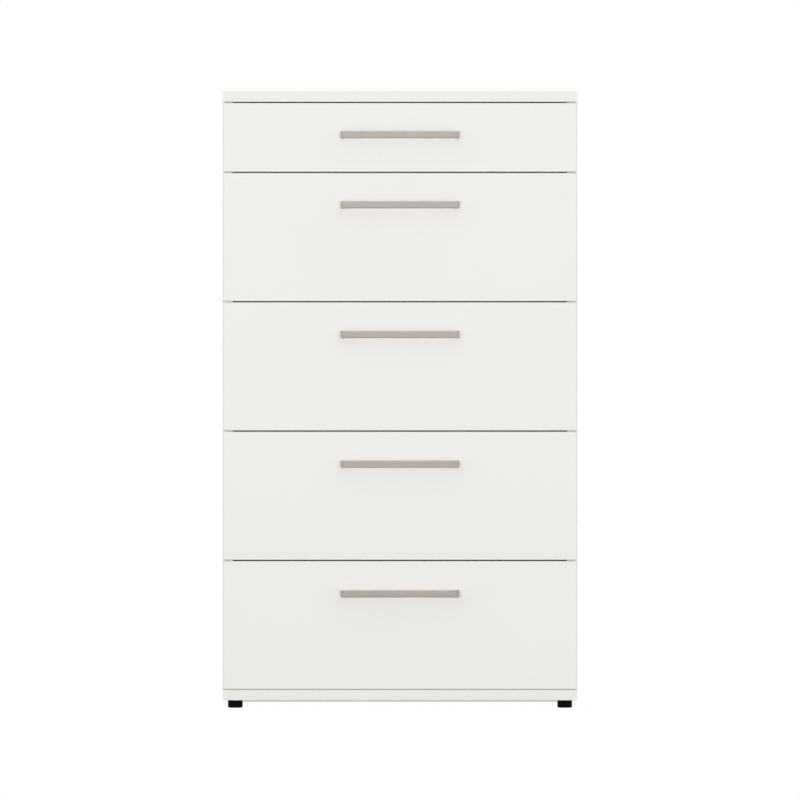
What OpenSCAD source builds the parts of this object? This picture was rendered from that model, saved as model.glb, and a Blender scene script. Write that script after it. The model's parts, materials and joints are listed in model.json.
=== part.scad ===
// Chest of five drawers: a flat-pack carcass, wooden drawer boxes on roller runners, bow handles.
// Millimetres. +Z is up, the drawers open towards -Y, and the origin is on the floor under the middle.

/* [Carcass] */
// Width over the side panels
cabinet_w = 600; // [450:1:900]
// Depth from the faces of the drawer fronts to the rear edges
cabinet_d = 420; // [380:1:560]
// Thickness of the top, base and side panels
board_t = 18; // [16:1:22]
// Rounding of the banded edges
edge_r = 1; // [0.5:0.25:2]
// Thickness of the hardboard back
back_t = 3; // [2.5:0.5:5]
// From the rear edges to the hardboard back
back_inset = 12; // [8:1:20]
// Depth of the grooves that hold the back
back_groove = 6; // [4:0.5:8]

/* [Fronts] */
// Number of deep drawers under the shallow one
deep_drawers = 4; // [2:1:6]
// Height of the top drawer's front
top_front_h = 116.25; // [110:0.25:160]
// Height of a deep drawer's front
deep_front_h = 216.75; // [160:0.25:280]
// Thickness of the fronts
front_t = 16; // [15:1:19]
// Gap above and between the fronts
front_gap = 2; // [2:0.25:4]
// Gap between the lowest front and the base
base_gap = 0.75; // [0.5:0.25:4]
// How far the fronts stay inside the carcass at each side
front_reveal = 1; // [0.5:0.5:3]
// Space between the fronts and the side panels' edges
front_standoff = 2; // [1:0.5:4]

/* [Drawer boxes] */
// Thickness of the sides and the back
box_t = 12; // [12:1:16]
// Thickness of the hardboard bottom
bottom_t = 3; // [2.5:0.5:5]
// From the sides' lower edges to the bottom's underside
bottom_up = 9; // [8:1:14]
// Depth of the grooves that hold the bottom
bottom_groove = 5; // [4:0.5:6]
// From the front's lower edge to the sides' lower edges
box_rise = 24; // [20:1:40]
// From the sides' upper edges to the front's upper edge
box_drop = 22; // [15:1:30]

/* [Runners] */
// Space between the carcass and a drawer side
runner_space = 12.5; // [12.5:0.5:14]
// Thickness of the rails' steel
rail_t = 1.2; // [1:0.1:1.5]
// From the side panels' front edges to the rails
rail_setback = 2; // [1:0.5:5]
// From the rails to the hardboard back
rail_rear_room = 35; // [20:1:60]
// From a rail's front end to the stop for the drawer's roller
stop_setback = 55; // [40:1:90]
// Length of the spare slots between the rails' screws
slot_l = 12; // [8:1:20]
// Diameter of the rollers
roller_d = 18; // [16:0.5:20]
// Width of the rollers' treads
roller_w = 5.8; // [5:0.1:6.2]
// Diameter of the rollers' pins
pin_d = 4; // [3:0.5:5]

/* [Handles] */
// Distance between the screws of a handle
handle_centres = 192; // [96:32:320]
// Height of the handle's bar
handle_h = 12; // [8:0.5:16]
// Thickness of the handle's bar
handle_t = 8; // [6:0.5:10]
// Width of the handle's legs
leg_w = 8.5; // [8:0.5:14]
// How far the handle stands out
handle_reach = 28; // [24:1:40]
// Rounding where the bar bends into its legs
handle_bend = 5; // [2:0.5:8]
// From the front's upper edge to the handle's middle
handle_drop = 54.5; // [40:0.5:65]

/* [Feet] */
// Diameter of a foot
foot_d = 25; // [20:1:40]
// Height of a foot
foot_h = 14; // [8:1:40]
// From the outer side to a foot's middle
foot_side = 20.5; // [20:0.5:60]
// From the front or the rear edge to a foot's middle
foot_end = 40; // [25:1:60]

/* [Hidden] */
$fn = 64;
drawer_count = deep_drawers + 1;

// Free space around a part in its bore or groove
fit = 0.1;
// Axial play of a roller, and the space over and under its tread
play = 0.2;
tread_play = 0.3;

// Planes of the carcass
half_w = cabinet_w / 2;
inner_half = half_w - board_t;
y_front = (handle_reach - cabinet_d) / 2;
y_rear = y_front + cabinet_d;
y_box = y_front + front_t;
y_side = y_box + front_standoff;
y_back = y_rear - back_inset - back_t;
z_base = foot_h;
z_floor = z_base + board_t;
z_top = front_z(1) + top_front_h + front_gap;

// Heights of a drawer, counted from the top
function front_h(i) = i == 1 ? top_front_h : deep_front_h;
function front_z(i) = z_floor + base_gap + (drawer_count - i) * (deep_front_h + front_gap);
function box_z(i) = front_z(i) + box_rise;
function box_h(i) = front_h(i) - box_rise - box_drop;
function handle_z(i) = front_z(i) + front_h(i) - handle_drop;
function rail_z(i) = box_z(i) - rail_t;

// Drawer boxes
front_w = cabinet_w - 2 * front_reveal;
box_half = inner_half - runner_space;
box_inner = box_half - box_t;
bottom_room = 0.4;
front_groove = 6;

// Rails: lengths, and heights from a carcass rail's underside
y_rail = y_side + rail_setback;
y_rail_end = y_back - rail_rear_room;
rail_len = y_rail_end - y_rail;
rail_h = roller_d + 2 * tread_play + 2 * rail_t;
rail_w = runner_space - rail_t - 1.1;
bend_in = edge_r / 2;
bend_out = bend_in + rail_t;
run_z = rail_h + 1;

// Rollers: the front one turns on the carcass rail, the rear one on the drawer rail
roller_r = roller_d / 2;
roller_end = roller_r + 3;
hub_r = pin_d / 2 + 1.4;
hub_l = 1.4;
rivet_r = pin_d / 2 + 1.2;
rivet_t = 0.8;
y_front_roller = y_rail + roller_end;
y_rear_roller = y_rail_end - roller_end;
front_axle_z = run_z - tread_play - roller_r;
rear_axle_z = rail_t + tread_play + roller_r;
roller_stack = play + hub_l + roller_w + play + rivet_t;

// Stops: a roller meets a tab's upper edge this far from its own axle
tab_h = 4;
stop_reach = sqrt(pow(roller_r, 2) - pow(roller_r + tread_play - tab_h, 2));

// Rail screws keep clear of the rivet that rolls past them
rail_screw_d = 3.8;
rail_screw_head = 7.2;
rail_screw_in = 13;
rail_screw_h = runner_space - 2 * rail_t - roller_stack - tread_play;
rail_screw_y = [y_side + 37, (y_side + 37 + y_rail_end - 27) / 2, y_rail_end - 27];
under_screw_y = [y_rail + 30, (y_rail + y_rail_end) / 2, y_rail_end - 30];
under_screw_d = 3.2;
under_screw_head = 6;
under_screw_h = 1.6;
under_screw_l = bottom_up - 1.5;

// Corner joints of the carcass
joint_in = 70;
joint_y = [y_side + joint_in, y_rear - joint_in];
dowel_y = [joint_y[0] + 32, joint_y[1] - 32];
screw_y = [joint_y[0], (joint_y[0] + joint_y[1]) / 2, joint_y[1]];
cam_in = 34;
cam_d = 15;
cam_h = board_t / 2 + 3.5;
cam_bolt_d = 6;
cam_thread_d = 5;
cam_thread_l = 11;
long_head_d = 9.6;
long_neck_d = 6.8;
long_thread_d = 4.8;
long_thread_l = 32;
dowel_d = 8;
dowel_in_board = 12;
dowel_in_side = 18;

// Corner joints of a drawer
box_cam_in = 24;
box_cam_d = 12;
box_cam_h = box_t / 2 + 3.5;
box_bolt_d = 4.8;
box_bolt_in = 10;
box_screw_d = 4;
box_screw_head = 7.6;
box_screw_l = 35;
box_joint_low = 34;
box_joint_drop = 14;
box_joint_least = box_cam_d + 3;

// Screws of a handle
handle_screw_d = 3.8;
handle_screw_head = 7.8;
handle_screw_h = 2.4;
handle_screw_in = 10;

// A box that is too low for two cams above each other has the upper one alone
function box_joint_z(i) =
    let (low = box_z(i) + box_joint_low, high = box_z(i) + box_h(i) - box_joint_drop)
    high - low < box_joint_least ? [high] : [low, high];

// Colours
melamine = [0.93, 0.93, 0.91];
foil = [0.9, 0.9, 0.88];
hardboard = [0.55, 0.42, 0.28];
satin_steel = [0.7, 0.69, 0.67];
black_plastic = [0.05, 0.05, 0.05];
coated_steel = [0.85, 0.85, 0.84];
nylon = [0.92, 0.92, 0.9];
zinc = [0.72, 0.73, 0.74];
beech = [0.8, 0.65, 0.45];

CARCASS_NODES = [
    "top_panel", "base_panel", "side_panel_left", "side_panel_right", "back_panel",
    "feet", "dowels", "carcass_fittings", "cabinet_rails_left", "cabinet_rails_right"
];
DRAWER_NODES = ["front", "handle", "side_left", "side_right", "back", "bottom", "rails", "fittings"];

// Extrusions along an axis, from the origin in its positive direction

module along_x(l) {
    rotate([90, 0, 90]) linear_extrude(l) children();
}

module along_y(l) {
    translate([0, l, 0]) rotate([90, 0, 0]) linear_extrude(l) children();
}

// Flat shapes

module round_rect(w, h, r) {
    translate([r, 0]) square([w - 2 * r, h]);
    translate([0, r]) square([w, h - 2 * r]);
    for (x = [r, w - r], y = [r, h - r]) translate([x, y]) circle(r);
}

function arc(x, y, r, from, to) =
    [for (k = [0:5]) let (a = from + (to - from) * k / 5) [x + r * cos(a), y + r * sin(a)]];

// Places: x counts inwards from the left side panel's inner face, and the right is its mirror image

module left_wall() {
    translate([-inner_half, 0, 0]) children();
}

module right_wall() {
    mirror([1, 0, 0]) left_wall() children();
}

module both_walls() {
    left_wall() children();
    right_wall() children();
}

// Fasteners: the head's seat is at z = 0 and the shank runs down

module pan_screw(head_d, head_h, d, l) {
    rotate_extrude() polygon([
        [0, -l], [d / 2, -l + d * 0.7], [d / 2, 0], [head_d / 2, 0],
        [head_d / 2, head_h * 0.4], [head_d * 0.34, head_h], [0, head_h]
    ]);
}

module sunk_screw(head_d, d, l) {
    rotate_extrude() polygon([
        [0, -l], [d / 2, -l + d * 0.7], [d / 2, -(head_d - d) / 2], [head_d / 2, 0], [0, 0]
    ]);
}

// A cam's open face is at z = 0, and its bolt comes in from +y
module cam(d, h, bolt_down, bolt_r) {
    difference() {
        translate([0, 0, -h]) cylinder(d = d, h = h);
        for (turn = [45, 135]) rotate(turn) translate([-d * 0.28, -0.8, -1.6]) cube([d * 0.56, 1.6, 3]);
        translate([0, -bolt_r, -bolt_down]) rotate([-90, 0, 0]) cylinder(r = bolt_r, h = d);
    }
}

// Carcass panels

module back_slot() {
    translate([-inner_half - back_groove, y_back - fit, z_floor - back_groove])
        cube([2 * (inner_half + back_groove), back_t + 2 * fit, z_top - z_floor + 2 * back_groove]);
}

module dowel_bores() {
    both_walls() for (y = dowel_y) {
        translate([-board_t / 2, y, z_top - dowel_in_side - 1])
            cylinder(d = dowel_d + 2 * fit, h = dowel_in_side + dowel_in_board + 2);
        translate([-board_t / 2, y, z_floor - dowel_in_board - 1])
            cylinder(d = dowel_d + 2 * fit, h = dowel_in_side + dowel_in_board + 2);
    }
}

module cam_bores() {
    both_walls() for (y = joint_y) {
        translate([-cam_h - 0.5, y, z_top - cam_in]) rotate([0, 90, 0])
            cylinder(d = cam_d + 2 * fit, h = cam_h + 1.5);
        translate([-board_t / 2, y, z_top - cam_in]) cylinder(d = cam_bolt_d + 2 * fit, h = cam_in + 0.01);
        translate([-board_t / 2, y, z_top - 1]) cylinder(d = cam_thread_d + 2 * fit, h = cam_thread_l + 2);
    }
}

module long_screw_bores() {
    both_walls() for (y = screw_y) translate([-board_t / 2, y, z_base]) {
        translate([0, 0, -1]) cylinder(d = long_head_d + 2 * fit, h = 1.01);
        cylinder(d1 = long_head_d + 2 * fit, d2 = long_neck_d + 2 * fit, h = (long_head_d - long_neck_d) / 2);
        cylinder(d = long_neck_d + 2 * fit, h = board_t + 0.01);
        cylinder(d = long_thread_d + 2 * fit, h = board_t + long_thread_l + 1);
    }
}

module flat_board(z) {
    translate([-half_w, y_front, z]) intersection() {
        along_y(cabinet_d) round_rect(cabinet_w, board_t, edge_r);
        along_x(cabinet_w) round_rect(cabinet_d, board_t, edge_r);
    }
}

module top_panel() color(melamine) difference() {
    flat_board(z_top);
    back_slot();
    dowel_bores();
    cam_bores();
}

module base_panel() color(melamine) difference() {
    flat_board(z_base);
    back_slot();
    dowel_bores();
    long_screw_bores();
    at_feet() translate([0, 0, z_base - 1]) cylinder(r = 4 + fit, h = 12);
}

module side_panel() color(melamine) difference() {
    translate([-half_w, y_side, z_floor]) linear_extrude(z_top - z_floor)
        round_rect(board_t, y_rear - y_side, edge_r);
    back_slot();
    dowel_bores();
    cam_bores();
    long_screw_bores();
    for (i = [1:drawer_count], y = rail_screw_y)
        left_wall() translate([-rail_screw_in - 1, y, rail_z(i) + rail_h / 2]) rotate([0, 90, 0])
            cylinder(d = rail_screw_d + 2 * fit, h = rail_screw_in + 2);
}

module back_panel() color(hardboard)
    translate([-inner_half - back_groove + 0.5, y_back, z_floor - back_groove])
        cube([2 * (inner_half + back_groove - 0.5), back_t, z_top - z_floor + 2 * back_groove - 0.5]);

// Feet: round glides with a peg in the base panel

module at_feet() {
    for (x = [-1, 1], y = [y_front + foot_end, y_rear - foot_end])
        translate([x * (half_w - foot_side), y, 0]) children();
}

module feet() color(black_plastic) at_feet() rotate_extrude() polygon(concat(
    [[0, 0]],
    arc(foot_d / 2 - 2, 2, 2, -90, 0),
    [[foot_d / 2, foot_h], [4, foot_h], [4, foot_h + 9], [3, foot_h + 10], [0, foot_h + 10]]
));

// Carcass fasteners

module dowels() color(beech) both_walls() for (y = dowel_y, z = [z_top, z_floor]) {
    down = z == z_top ? dowel_in_side : dowel_in_board;
    translate([-board_t / 2, y, z - down]) rotate_extrude() polygon([
        [0, 0], [dowel_d / 2 - 1, 0], [dowel_d / 2, 1],
        [dowel_d / 2, dowel_in_side + dowel_in_board - 1],
        [dowel_d / 2 - 1, dowel_in_side + dowel_in_board], [0, dowel_in_side + dowel_in_board]
    ]);
}

// A bolt whose head is held in a cam and whose thread is in the top panel
module cam_bolt() {
    collar = cam_d / 2 + 0.5;
    cylinder(d = cam_bolt_d - 2 * fit, h = 3.5);
    cylinder(d = 0.6 * cam_bolt_d, h = cam_in);
    translate([0, 0, collar]) cylinder(d = cam_bolt_d, h = cam_in - collar);
    translate([0, 0, cam_in]) cylinder(d = cam_thread_d, h = cam_thread_l);
}

// A long screw from under the base, with a thick neck in the board and its thread in the side
module long_screw() {
    rotate_extrude() polygon([
        [0, 0], [long_head_d / 2, 0], [long_neck_d / 2, (long_head_d - long_neck_d) / 2],
        [long_neck_d / 2, board_t], [long_thread_d / 2, board_t],
        [long_thread_d / 2, board_t + long_thread_l - 3], [0, board_t + long_thread_l]
    ]);
}

module carcass_fittings() color(zinc) both_walls() {
    for (y = joint_y) translate([0, y, z_top - cam_in]) {
        rotate([90, 0, 90]) cam(cam_d, cam_h, board_t / 2, cam_bolt_d / 2 + 2 * fit);
        translate([-board_t / 2, 0, 0]) cam_bolt();
    }
    for (y = screw_y) translate([-board_t / 2, y, z_base]) long_screw();
    for (i = [1:drawer_count], y = rail_screw_y)
        translate([rail_t, y, rail_z(i) + rail_h / 2]) rotate([0, 90, 0])
            pan_screw(rail_screw_head, rail_screw_h, rail_screw_d, rail_screw_in + rail_t);
}

// Runners

module channel_profile() {
    polygon(concat(
        [[rail_w, 0]],
        arc(bend_out, bend_out, bend_out, 270, 180),
        arc(bend_out, rail_h - bend_out, bend_out, 180, 90),
        [[rail_w, rail_h], [rail_w, rail_h - rail_t]],
        arc(bend_out, rail_h - bend_out, bend_in, 90, 180),
        arc(bend_out, bend_out, bend_in, 180, 270),
        [[rail_w, rail_t]]
    ));
}

module stepped_profile() {
    web = runner_space - rail_t;
    top = run_z + rail_t;
    polygon(concat(
        [[runner_space + box_t, 0]],
        arc(web + bend_out, bend_out, bend_out, 270, 180),
        arc(runner_space - bend_out, top - bend_out, bend_in, 0, 90),
        [[2, run_z], [2, top]],
        arc(runner_space - bend_out, top - bend_out, bend_out, 90, 0),
        arc(web + bend_out, bend_out, bend_in, 180, 270),
        [[runner_space + box_t, rail_t]]
    ));
}

// A pin with its riveted head, growing along +z from the rail
module roller_pin() {
    cylinder(d = pin_d, h = rail_t + roller_stack - rivet_t);
    translate([0, 0, rail_t + roller_stack - rivet_t])
        cylinder(r1 = rivet_r, r2 = rivet_r - 0.3, h = rivet_t);
}

// Middles between places that follow each other
function between(places) = [for (k = [1:len(places) - 1]) (places[k - 1] + places[k]) / 2];

// A spare slot along y, cut through a rail's steel along z
module spare_slot(d) {
    reach = (slot_l - d) / 2;
    translate([0, 0, -1]) {
        for (y = [-reach, reach]) translate([0, y, 0]) cylinder(d = d, h = rail_t + 2);
        translate([-d / 2, -reach, 0]) cube([d, 2 * reach, rail_t + 2]);
    }
}

module stop_tab(y) {
    translate([3, y, rail_t / 2]) cube([rail_w - 4, rail_t, rail_t / 2 + tab_h]);
}

module cabinet_rail(i) {
    translate([0, 0, rail_z(i)]) difference() {
        union() {
            translate([0, y_rail, 0]) along_y(rail_len) channel_profile();
            translate([0, y_front_roller, front_axle_z]) rotate([0, 90, 0]) roller_pin();
            stop_tab(y_rail + stop_setback);
            stop_tab(y_rear_roller + stop_reach + tread_play);
        }
        translate([rail_t, y_rail - 1, rail_h - rail_t - bend_in])
            cube([rail_w, roller_end + roller_r + 7, rail_t + bend_in + 1]);
        for (y = rail_screw_y) translate([-1, y, rail_h / 2]) rotate([0, 90, 0])
            cylinder(d = rail_screw_d + 4 * fit, h = rail_t + 2);
        for (y = between(rail_screw_y)) translate([0, y, rail_h / 2]) rotate([0, 90, 0])
            spare_slot(rail_screw_d + 4 * fit);
    }
}

module cabinet_rails() color(coated_steel) left_wall() for (i = [1:drawer_count]) cabinet_rail(i);

module drawer_rails(i) color(coated_steel) both_walls() translate([0, 0, rail_z(i)]) difference() {
    union() {
        translate([0, y_rail, 0]) along_y(rail_len) stepped_profile();
        translate([runner_space, y_rear_roller, rear_axle_z]) rotate([0, -90, 0]) roller_pin();
    }
    for (y = under_screw_y) translate([runner_space + box_t / 2, y, -1])
        cylinder(d = under_screw_d + 4 * fit, h = rail_t + 2);
    for (y = between(under_screw_y)) translate([runner_space + box_t / 2, y, 0])
        spare_slot(under_screw_d + 4 * fit);
}

module roller() {
    bore_r = pin_d / 2 + 0.06;
    rim_r = roller_r - 2;
    dish = 1.2;
    rotate_extrude() polygon([
        [bore_r, -hub_l], [hub_r, -hub_l], [hub_r, dish], [rim_r, dish], [rim_r, 0],
        [roller_r - 0.6, 0], [roller_r, 0.6], [roller_r, roller_w - 0.6], [roller_r - 0.6, roller_w],
        [rim_r, roller_w], [rim_r, roller_w - dish], [hub_r, roller_w - dish], [hub_r, roller_w],
        [bore_r, roller_w]
    ]);
}

module front_rollers(i) color(nylon) both_walls()
    translate([rail_t + play + hub_l, y_front_roller, rail_z(i) + front_axle_z]) rotate([0, 90, 0]) roller();

module rear_rollers(i) color(nylon) both_walls()
    translate([runner_space - rail_t - play - hub_l, y_rear_roller, rail_z(i) + rear_axle_z])
        rotate([0, -90, 0]) roller();

// Drawer boxes

module bottom_slot(i) {
    translate([-box_inner - bottom_groove, y_box - front_groove, box_z(i) + bottom_up])
        cube([
            2 * (box_inner + bottom_groove), y_rail_end - y_box + front_groove + 1, bottom_t + bottom_room
        ]);
}

module box_bolt_bores(i) {
    both_walls() for (z = box_joint_z(i)) {
        translate([runner_space + box_t / 2, y_box - box_bolt_in - 1, z]) rotate([-90, 0, 0])
            cylinder(d = box_bolt_d + 2 * fit, h = box_bolt_in + 1 + box_cam_in);
        translate([runner_space - 1, y_box + box_cam_in, z]) rotate([0, 90, 0])
            cylinder(d = box_cam_d + 2 * fit, h = 1.5 + box_cam_h);
    }
}

module box_screw_bores(i) {
    both_walls() for (z = box_joint_z(i))
        translate([runner_space, y_rail_end - box_t / 2, z]) rotate([0, 90, 0]) {
            translate([0, 0, -1]) cylinder(d = box_screw_head + 2 * fit, h = 1.01);
            cylinder(
                d1 = box_screw_head + 2 * fit, d2 = box_screw_d + 2 * fit,
                h = (box_screw_head - box_screw_d) / 2
            );
            cylinder(d = box_screw_d + 2 * fit, h = box_screw_l + 1);
        }
}

module drawer_front(i) color(melamine) difference() {
    translate([-front_w / 2, y_front, front_z(i)]) intersection() {
        linear_extrude(front_h(i)) round_rect(front_w, front_t, edge_r);
        along_x(front_w) round_rect(front_t, front_h(i), edge_r);
    }
    bottom_slot(i);
    box_bolt_bores(i);
    for (x = [-1, 1]) translate([x * handle_centres / 2, y_front - 1, handle_z(i)]) rotate([-90, 0, 0])
        cylinder(d = handle_screw_d + 6 * fit, h = front_t + 2);
}

module drawer_side(i) color(foil) difference() {
    left_wall() translate([runner_space, y_box, box_z(i)]) along_y(y_rail_end - y_box)
        round_rect(box_t, box_h(i), edge_r);
    bottom_slot(i);
    box_bolt_bores(i);
    box_screw_bores(i);
    for (y = under_screw_y) left_wall() translate([runner_space + box_t / 2, y, box_z(i) - 1])
        cylinder(d = under_screw_d + 2 * fit, h = 1.5 + under_screw_l);
}

module drawer_back(i) color(foil) difference() {
    translate([-box_inner, y_rail_end - box_t, box_z(i) + bottom_up + bottom_t])
        cube([2 * box_inner, box_t, box_h(i) - bottom_up - bottom_t - edge_r]);
    box_screw_bores(i);
}

module drawer_bottom(i) color(foil)
    translate([-box_inner - bottom_groove + 0.3, y_box - front_groove + 0.3, box_z(i) + bottom_up])
        cube([2 * (box_inner + bottom_groove - 0.3), y_rail_end - y_box + front_groove - 0.3, bottom_t]);

module drawer_fittings(i) color(zinc) {
    for (x = [-1, 1]) translate([x * handle_centres / 2, y_box, handle_z(i)]) rotate([-90, 0, 0])
        pan_screw(handle_screw_head, handle_screw_h, handle_screw_d, front_t + handle_screw_in);
    both_walls() {
        for (z = box_joint_z(i)) {
            translate([runner_space, y_box + box_cam_in, z]) rotate([180, 90, 0])
                cam(box_cam_d, box_cam_h, box_t / 2, box_bolt_d / 2 + fit);
            translate([runner_space + box_t / 2, y_box - box_bolt_in, z]) rotate([-90, 0, 0])
                cylinder(d = box_bolt_d, h = box_bolt_in + box_cam_in);
            translate([runner_space, y_rail_end - box_t / 2, z]) rotate([0, -90, 0])
                sunk_screw(box_screw_head, box_screw_d, box_screw_l);
        }
        for (y = under_screw_y) translate([runner_space + box_t / 2, y, rail_z(i)]) rotate([180, 0, 0])
            pan_screw(under_screw_head, under_screw_h, under_screw_d, rail_t + under_screw_l);
    }
}

// Handles: a bow bent from flat bar, cut out of three views of it

module handle_plan() {
    l = handle_centres + leg_w;
    gap = handle_centres - leg_w;
    bend = handle_bend / 2;
    difference() {
        union() {
            translate([-l / 2, handle_bend]) square([l, handle_reach - handle_bend]);
            translate([handle_bend - l / 2, 0]) square([l - 2 * handle_bend, handle_reach]);
            for (x = [-1, 1]) translate([x * (l / 2 - handle_bend), handle_bend]) circle(handle_bend);
        }
        translate([-gap / 2, handle_t + bend]) square([gap, handle_reach]);
        translate([bend - gap / 2, handle_t]) square([gap - 2 * bend, handle_reach]);
        for (x = [-1, 1]) translate([x * (gap / 2 - bend), handle_t + bend]) circle(bend);
    }
}

module drawer_handle(i) color(satin_steel) {
    l = handle_centres + leg_w;
    soft = 1.2;
    translate([0, y_front - handle_reach, handle_z(i) - handle_h / 2]) difference() {
        intersection() {
            linear_extrude(handle_h) handle_plan();
            translate([-l / 2, 0, 0]) along_x(l) round_rect(handle_reach + 2 * soft, handle_h, soft);
            translate([-l / 2, 0, 0]) along_y(handle_reach) round_rect(l, handle_h, soft);
        }
        for (x = [-1, 1])
            translate([x * handle_centres / 2, handle_reach - handle_screw_in - 2, handle_h / 2])
                rotate([-90, 0, 0]) cylinder(d = handle_screw_d + 2 * fit, h = handle_screw_in + 3);
    }
}

top_panel();
base_panel();
side_panel();  // side_panel_left
mirror([1, 0, 0]) side_panel();  // side_panel_right
back_panel();
feet();
dowels();
carcass_fittings();
cabinet_rails();  // cabinet_rails_left
mirror([1, 0, 0]) cabinet_rails();  // cabinet_rails_right
for (i = [1:drawer_count]) {
    drawer_front(i);
    drawer_handle(i);
    drawer_side(i);
    mirror([1, 0, 0]) drawer_side(i);
    drawer_back(i);
    drawer_bottom(i);
    drawer_rails(i);
    drawer_fittings(i);
    front_rollers(i);
    rear_rollers(i);
}
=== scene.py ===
# Looks of a white chest of five drawers with satin bow handles. Metres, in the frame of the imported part.
import json
import math
from collections import namedtuple

import bmesh
import bpy
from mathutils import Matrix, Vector

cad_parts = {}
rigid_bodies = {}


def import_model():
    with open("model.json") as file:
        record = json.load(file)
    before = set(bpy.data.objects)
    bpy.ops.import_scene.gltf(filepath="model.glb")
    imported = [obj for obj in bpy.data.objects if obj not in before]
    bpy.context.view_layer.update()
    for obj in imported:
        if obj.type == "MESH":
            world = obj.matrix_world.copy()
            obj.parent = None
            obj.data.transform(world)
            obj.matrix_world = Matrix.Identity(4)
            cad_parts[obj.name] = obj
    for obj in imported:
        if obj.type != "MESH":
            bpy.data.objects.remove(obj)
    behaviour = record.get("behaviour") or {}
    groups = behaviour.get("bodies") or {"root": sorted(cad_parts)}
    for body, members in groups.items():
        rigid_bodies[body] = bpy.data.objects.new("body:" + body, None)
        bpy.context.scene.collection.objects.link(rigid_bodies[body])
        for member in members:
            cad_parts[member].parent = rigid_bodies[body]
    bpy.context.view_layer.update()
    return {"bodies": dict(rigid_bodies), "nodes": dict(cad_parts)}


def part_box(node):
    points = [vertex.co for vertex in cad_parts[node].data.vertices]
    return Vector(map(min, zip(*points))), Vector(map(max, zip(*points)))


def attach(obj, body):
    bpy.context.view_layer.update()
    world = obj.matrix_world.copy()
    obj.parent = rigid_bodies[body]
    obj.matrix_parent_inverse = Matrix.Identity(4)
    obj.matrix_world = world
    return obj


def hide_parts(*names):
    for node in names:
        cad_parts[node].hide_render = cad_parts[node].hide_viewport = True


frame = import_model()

MM = 0.001
ACROSS, DEEP, UP = range(3)
REAR = (0.0, 1.0, 0.0)
UNDER = (0.0, 0.0, -1.0)
drawer_numbers = [n for n in range(1, len(frame["bodies"])) if f"drawer_{n}" in frame["bodies"]]

# Photograph: the body's width and top edge, in pixels of its 800 pixel frame
PICTURE_PX = 800
BODY_WIDTH_PX = 354.86
BODY_TOP_PX = 91.17

# Boards
EDGE_BAND = 1.0 * MM
SEAM_WIDTH = 0.18 * MM
BARE_EDGE_DEPTH = 0.7 * MM
CORE_ROUGHNESS = 0.85
BEYOND_FACES = 1.0
BOARD_PATCH = 240 * MM
MELAMINE_GRAIN = 0.7 * MM
FOIL_GRAIN = 1.1 * MM
CHIP_LENGTH = 3.8 * MM
CHIP_THICKNESS = 1.2 * MM
FIBRE_LENGTH = 9 * MM
FLECK_LENGTH = 2.2 * MM
LACQUER_FACING = -0.5

# Fasteners: shares of a screw's or bolt's own sizes come first
RECESS_TAPER = 0.72
THREAD_DEPTH = 0.26
SCREW_POINT = 0.7
BLUNT_POINT = 0.12
PAN_DOME = ((1.0, 0.62), (0.95, 0.32), (0.82, 0.1), (0.66, 0.0))
SUNK_NECK = 0.34
BOLT_NECK = 0.6
SUNK_RIM = 0.3 * MM
SUNK_RECESS_DEPTH = 1.9 * MM
LONG_POINT = 3 * MM
LONG_RIM = 0.25 * MM
RIM_SOFTNESS = 0.15 * MM
HEX_SPAN = 4.6 * MM
HEX_DEPTH = 2.6 * MM
CAM_SOFTNESS = 0.4 * MM
CAM_RIM = 1.2 * MM
CAM_FACE_INSET = 1.5 * MM
CAM_FACE_DEPTH = 0.35 * MM
CAM_CROSS_ARM = 1.7 * MM
CAM_CROSS_DEPTH = 1.8 * MM
BOLT_SOFTNESS = 0.3 * MM
BOLT_HEAD = 2.4 * MM
BOLT_SHOULDER = 7.0 * MM
BOLT_SLOPE = 0.8 * MM
SHARP_ANGLE = math.radians(35)
TURNED_SEGMENTS = 24
CAM_SEGMENTS = 32
WELD_DISTANCE = 0.001 * MM
FASTENER_SEED = 7
PIN_COUNT = 5
PIN_INSET = 36 * MM
PIN_HEAD = 2.6 * MM
PIN_RISE = 0.5 * MM
PIN_CROWN = 0.36
PIN_SIDES = 12

# Finishes, as linear colours
BOARD_WHITE = (0.854, 0.847, 0.826, 1.0)
BOARD_WHITE_COOL = (0.866, 0.861, 0.843, 1.0)
BAND_WHITE = (0.848, 0.840, 0.818, 1.0)
SEAM_GREY = (0.62, 0.605, 0.57, 1.0)
LINING_WHITE = (0.800, 0.797, 0.780, 1.0)
LINING_SHADE = (0.760, 0.755, 0.735, 1.0)
HARDBOARD_LIGHT = (0.330, 0.190, 0.098, 1.0)
HARDBOARD_DARK = (0.205, 0.108, 0.052, 1.0)
HARDBOARD_FLECK = (0.125, 0.062, 0.030, 1.0)
CHIP_LIGHT = (0.610, 0.430, 0.245, 1.0)
CHIP_MID = (0.430, 0.275, 0.140, 1.0)
CHIP_DARK = (0.200, 0.115, 0.055, 1.0)
SATIN_LIGHT = (0.708, 0.663, 0.620, 1.0)
SATIN_DARK = (0.622, 0.583, 0.538, 1.0)
FOOT_BLACK = (0.0030, 0.0030, 0.0032, 1.0)
FOOT_WORN = (0.0065, 0.0062, 0.0060, 1.0)
RUNNER_WHITE = (0.760, 0.760, 0.745, 1.0)
RUNNER_SHADE = (0.700, 0.698, 0.680, 1.0)
NYLON_WHITE = (0.780, 0.775, 0.745, 1.0)
NYLON_SHADE = (0.700, 0.690, 0.650, 1.0)
ZINC_LIGHT = (0.660, 0.675, 0.690, 1.0)
ZINC_DARK = (0.450, 0.462, 0.470, 1.0)
BEECH_LIGHT = (0.620, 0.430, 0.260, 1.0)
BEECH_DARK = (0.450, 0.280, 0.150, 1.0)


# Node trees in few words

def feed(tree, socket, source):
    """Links a socket to another node's output, or sets its value."""
    if isinstance(source, bpy.types.NodeSocket):
        tree.links.new(source, socket)
    else:
        socket.default_value = source


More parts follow.
